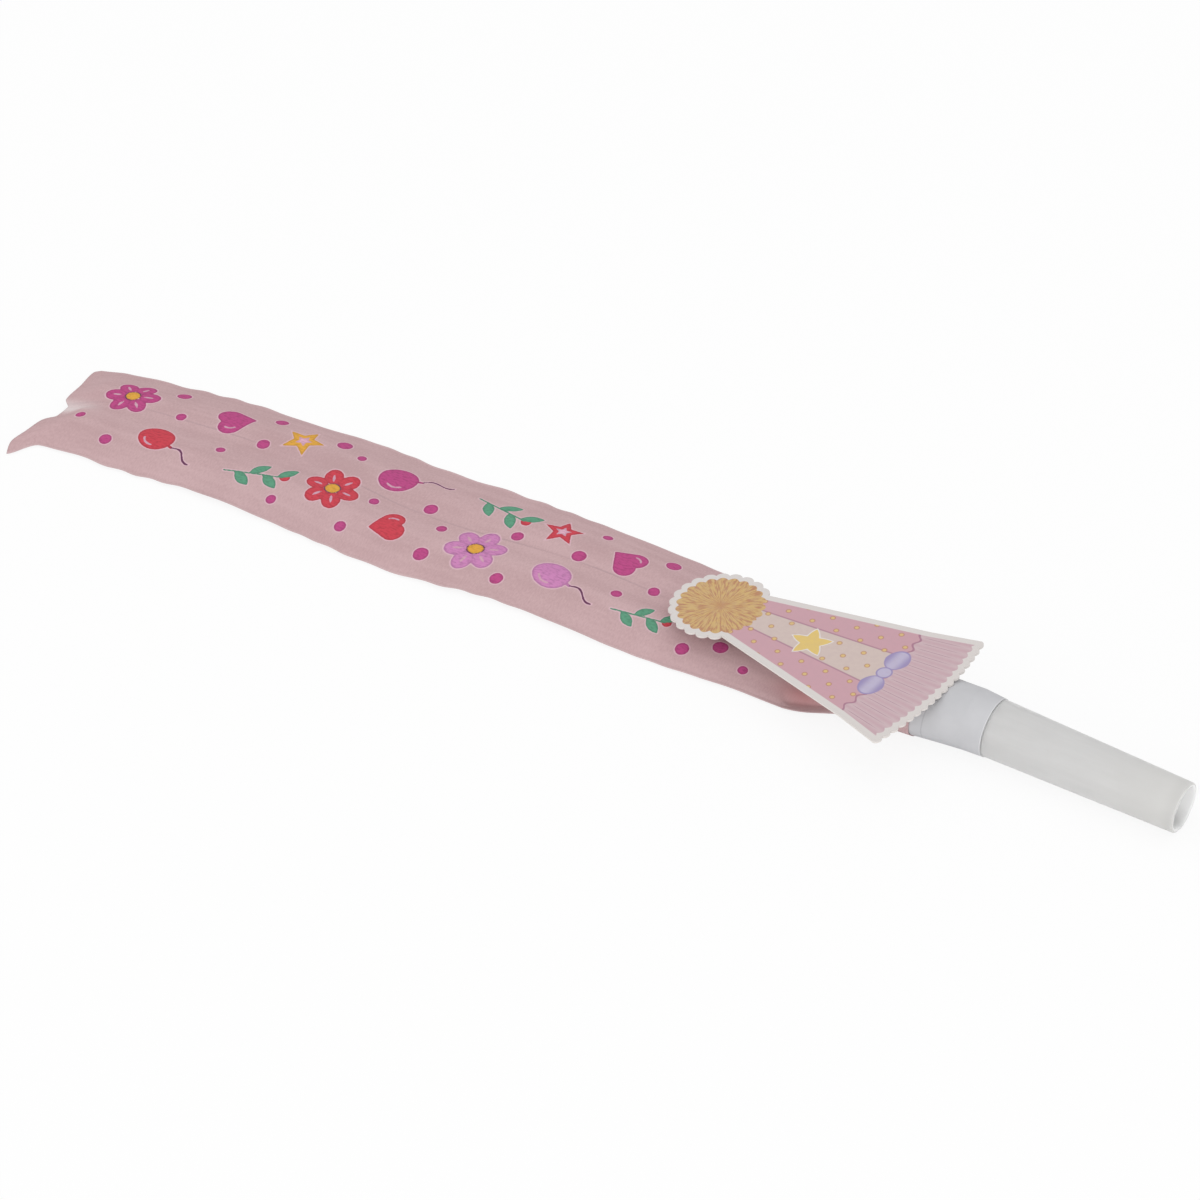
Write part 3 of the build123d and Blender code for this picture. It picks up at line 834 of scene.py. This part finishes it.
def cardPrint():
    material, bench = newBench("printedCard")
    tilt, yaw = math.radians(card["tilt"]), math.radians(card["yaw"])
    down = Vector((-math.cos(tilt), 0, -math.sin(tilt)))
    up = Vector((-math.sin(tilt), 0, math.cos(tilt)))
    right = up.cross(down)
    alongCard = down * math.cos(yaw) - right * math.sin(yaw)
    acrossCard = up.cross(alongCard)
    place = bench.node("ShaderNodeVectorMath", {"operation": "SUBTRACT"},
                       [bench.objectPlace(), Vector(card["brim"]) * mm])
    u = bench.dot(place, alongCard / mm)
    v = bench.dot(place, acrossCard / mm)
    height = bench.dot(place, up / mm)
    side = abs(v)

    # distance in from the die-cut edge
    fan = v.angleTo(brimCentre - u)
    brimReach = ((brimCentre - u) * (brimCentre - u) + v * v) ** 0.5
    scallop = abs((fan * (card["scallops"] * math.pi / 2 / brimHalfAngle) + math.pi / 2).sine())
    fromBrim = brimRadius + card["scallopDepth"] * scallop - brimReach
    bandLean = (card["brimHalf"] - card["bandHalf"]) / card["bandTop"]
    coneSide = card["bandHalf"] - coneSlope * (u - card["bandTop"])
    bandSide = card["brimHalf"] - bandLean * u
    fromSide = (coneSide.most(bandSide) - side) * card["sideLean"]
    fromCone = fromBrim.least(fromSide).least(rootPlace[0] + card["coneOver"] - u)
    ballU = u - pompomAt
    ballReach = (ballU * ballU + v * v) ** 0.5
    ballTurn = v.angleTo(ballU)
    tuft = abs((ballTurn * (card["tufts"] * math.pi / 2 / rootTurn)).sine())
    fromBall = pompomRadius + card["tuftDepth"] * tuft - ballReach
    inset = fromCone.most(fromBall)

    ink = {name: rgb(*screen) for name, screen in cardInks.items()}
    grain = bench.speckle(bench.objectPlace(), card["grainScale"], 3.0)
    wobble = (bench.speckle(bench.objectPlace(), card["wobbleScale"], 2.0) - 0.5) * 0.5

    # cone: a peach middle panel, pink side panels and small gold dots on a slanted grid
    panel, dots = card["panel"], card["dots"]
    fromMiddle = abs(v / coneSide + panel["shift"])
    middle = fromMiddle.soft(panel["half"] + panel["blur"], panel["half"] - panel["blur"])
    colour = bench.tint(middle, ink["pink"], ink["peach"])
    seamLine = abs(fromMiddle - panel["half"])
    colour = bench.tint((seamLine * coneSide).soft(0.28, 0.14) * 0.7, colour, ink["mauve"])
    gridU, gridV = u / dots["pitch"], v / dots["pitch"]
    gridA, gridB = (gridU + gridV).fraction() - 0.5, (gridU - gridV).fraction() - 0.5
    spot = (gridA * gridA + gridB * gridB) ** 0.5 * dots["spread"]
    colour = bench.tint(spot.soft(0.74, 0.6) * 0.8, colour, ink["orange"])
    colour = bench.tint(spot.soft(0.5, 0.36), colour, ink["glint"])

    # star on the middle panel
    star = card["star"]
    starU = u - star["at"]
    starTurn = (v.angleTo(starU) / (2 * math.pi / star["points"])).fraction() - 0.5
    starReach = (starU * starU + v * v) ** 0.5
    starEdge = starReach - (star["waist"] + star["arm"] * (abs(starTurn) * 2) ** 1.5)
    colour = bench.tint(starEdge.soft(0.5, 0.35), colour, ink["cream"])
    colour = bench.tint(starEdge.soft(card["edgeBlur"], -card["edgeBlur"]), colour, ink["yellow"])

    # band: pale pleats fanned from the brim's centre, with thin mauve lines
    band = card["band"]
    fromBand = brimReach - (brimRadius - band["depth"]) - 0.5 * (fan * band["frills"]).sine() + wobble
    fromPleat = abs((fan * band["pleats"]).fraction() - 0.5)
    frill = bench.tint(fromPleat * 2, ink["palePink"], ink["foldPink"])
    pleatLine = fromPleat.soft(0.05, 0.02) * fromBand.soft(0.4, 2.5) * fromBand.soft(11.5, 7.0)
    frill = bench.tint(pleatLine * 0.8, frill, ink["mauve"])
    colour = bench.tint(fromBand.soft(-0.05, 0.1), colour, frill)
    colour = bench.tint(abs(fromBand).soft(0.35, 0.2) * 0.85, colour, ink["mauve"])

    # bow over the band's top edge
    bow = card["bow"]
    bowU = u - bow["at"]
    loopU, loopV = bowU / bow["half"], (side - bow["loopAt"]) / bow["loop"]
    nip = bow["nip"] * (bow["nipFrom"] - side / bow["nipRun"]).most(0.0)
    loopGap = (loopU**2 + loopV**2) ** 0.5 - 1 + nip
    knotGap = ((bowU / bow["knot"][0]) ** 2 + (v / bow["knot"][1]) ** 2) ** 0.5 - 1
    bowTone = bench.tint(abs(loopU).soft(0.1, 0.9), ink["lavender"], ink["violet"])
    colour = bench.tint(loopGap.soft(0.06, 0.0), colour, ink["violet"])
    colour = bench.tint(loopGap.soft(-0.04, -0.12), colour, bowTone)
    colour = bench.tint(knotGap.soft(0.12, 0.02), colour, ink["violet"])
    colour = bench.tint(knotGap.soft(-0.08, -0.2), colour, ink["lavender"])

    # pompom: golden strands combed out from its middle
    strand = card["strand"]
    combed = [ballTurn * strand["turns"], ballReach * strand["along"], 0.0]
    strands = bench.speckle(bench.node("ShaderNodeCombineXYZ", {}, combed), strand["scale"], 4.0, 0.6)
    ball = bench.tint(strands.soft(0.44, 0.6), ink["gold"], ink["orange"])
    ball = bench.tint(ballReach.soft(2.2, 0.4) * 0.6, ball, ink["orange"])
    onBall = fromBall.soft(card["border"] - card["ballBlur"], card["border"] + card["ballBlur"])
    colour = bench.tint(onBall, colour, ball)

    colour = bench.tint(grain.soft(0.3, 0.7) * 0.12, colour, ink["grain"])
    bordered = inset.soft(card["border"] + card["edgeBlur"], card["border"] - card["edgeBlur"])
    colour = bench.tint(bordered, colour, ink["white"])
    starts, full = card["faceBlur"]
    face = height.soft(card["thickness"] - starts, card["thickness"] - full)
    colour = bench.tint(face, ink["cream"], colour)
    bench.surface(
        Base_Color=colour,
        Roughness=0.62 - 0.14 * face,
        Normal=bench.bump(grain, 0.06, 0.00005),
        Specular_IOR_Level=0.4,
    )
    return material


# Carried-over nodes keep their shape and get a finish

def dress(material, *names):
    for name in names:
        mesh = frame["nodes"][name].data
        mesh.materials.clear()
        mesh.materials.append(material)


stripNames = [name for name in frame["nodes"] if name.startswith("curl_strip")]
dress(frostedPlastic(), "mouthpiece")
dress(collarPaper(), "collar")
dress(cardPrint(), "topper_card")
dress(plainFinish("setGlue"), "glue_pad")
dress(plainFinish("reedPlastic"), "reed_body", "reed_clip", "reed_tongue")
dress(plainFinish("stripFilm"), *stripNames)
print("materials set on the carried-over nodes")


# Stage: pale floor, three soft lamps, white surroundings and the photograph's camera

stage = {
    "floorSize": 6.0,
    "floorDrop": 0.0002,
    "floorTone": (0.92, 0.92, 0.92, 1.0),
    "floorGlow": 0.88,
    "white": (1.0, 1.0, 1.0, 1.0),
    "worldStrength": 0.8,
    "lamps": [  # place, aim, size, power
        ((-0.1, 0.25, 1.1), (0.0, 0.0, 0.0), 1.2, 1.8),
        ((-0.2, -1.0, 0.4), (0.0, 0.0, 0.0), 0.9, 2.3),
        ((0.9, -0.45, 0.3), (0.1, 0.0, 0.0), 0.7, 1.7),
    ],
    "cameraFrom": (0.3871, -0.6505, 0.6428),
    "cameraAim": (-0.02047, -0.0019, 0.0),
    "lens": 134.96,
    "sensor": 36.0,
}

bm = bmesh.new()
bmesh.ops.create_grid(bm, x_segments=1, y_segments=1, size=stage["floorSize"] / 2)
bmesh.ops.translate(bm, verts=bm.verts, vec=(0, 0, -stage["floorDrop"]))
floorMesh = bpy.data.meshes.new("floor")
bm.to_mesh(floorMesh)
bm.free()
floor = bpy.data.objects.new("floor", floorMesh)
bpy.context.scene.collection.objects.link(floor)
floorPaint, bench = newBench("paleFloor")
ray = bench.node("ShaderNodeLightPath", output=0)
glossy = bench.node("ShaderNodeLightPath", output=3)
glass = bench.node("ShaderNodeLightPath", output=6)
seen = ray.most(glossy).most(glass)
matt = bench.node("ShaderNodeBsdfDiffuse", {}, {"Color": stage["floorTone"]})
glow = bench.node("ShaderNodeEmission", {}, {"Color": stage["white"], "Strength": 1.0})
mixed = bench.node("ShaderNodeMixShader", {}, {0: seen * stage["floorGlow"], 1: matt, 2: glow})
bench.node("ShaderNodeOutputMaterial", {}, {"Surface": mixed})
floorMesh.materials.append(floorPaint)

world = bpy.data.worlds.new("studio")
bpy.context.scene.world = world
bench = Bench(world)
ray = bench.node("ShaderNodeLightPath", output=0)
dimmed = {"Color": stage["white"], "Strength": stage["worldStrength"]}
soft = bench.node("ShaderNodeBackground", {}, dimmed)
white = bench.node("ShaderNodeBackground", {}, {"Color": stage["white"], "Strength": 1.0})
both = bench.node("ShaderNodeMixShader", {}, {0: ray, 1: soft, 2: white})
bench.node("ShaderNodeOutputWorld", {}, {"Surface": both})

for number, (place, aim, size, power) in enumerate(stage["lamps"], 1):
    lampData = bpy.data.lights.new(f"softbox{number}", "AREA")
    lampData.size, lampData.energy = size, power
    lamp = bpy.data.objects.new(f"softbox{number}", lampData)
    lamp.location = place
    lamp.rotation_euler = (Vector(aim) - Vector(place)).to_track_quat("-Z", "Y").to_euler()
    bpy.context.scene.collection.objects.link(lamp)

cameraData = bpy.data.cameras.new("camera")
cameraData.lens, cameraData.sensor_width = stage["lens"], stage["sensor"]
camera = bpy.data.objects.new("camera", cameraData)
camera.location = stage["cameraFrom"]
aim = Vector(stage["cameraAim"]) - Vector(stage["cameraFrom"])
camera.rotation_euler = aim.to_track_quat("-Z", "Y").to_euler()
bpy.context.scene.collection.objects.link(camera)
bpy.context.scene.camera = camera
bpy.context.scene.view_settings.view_transform = "Standard"
print("stage set")
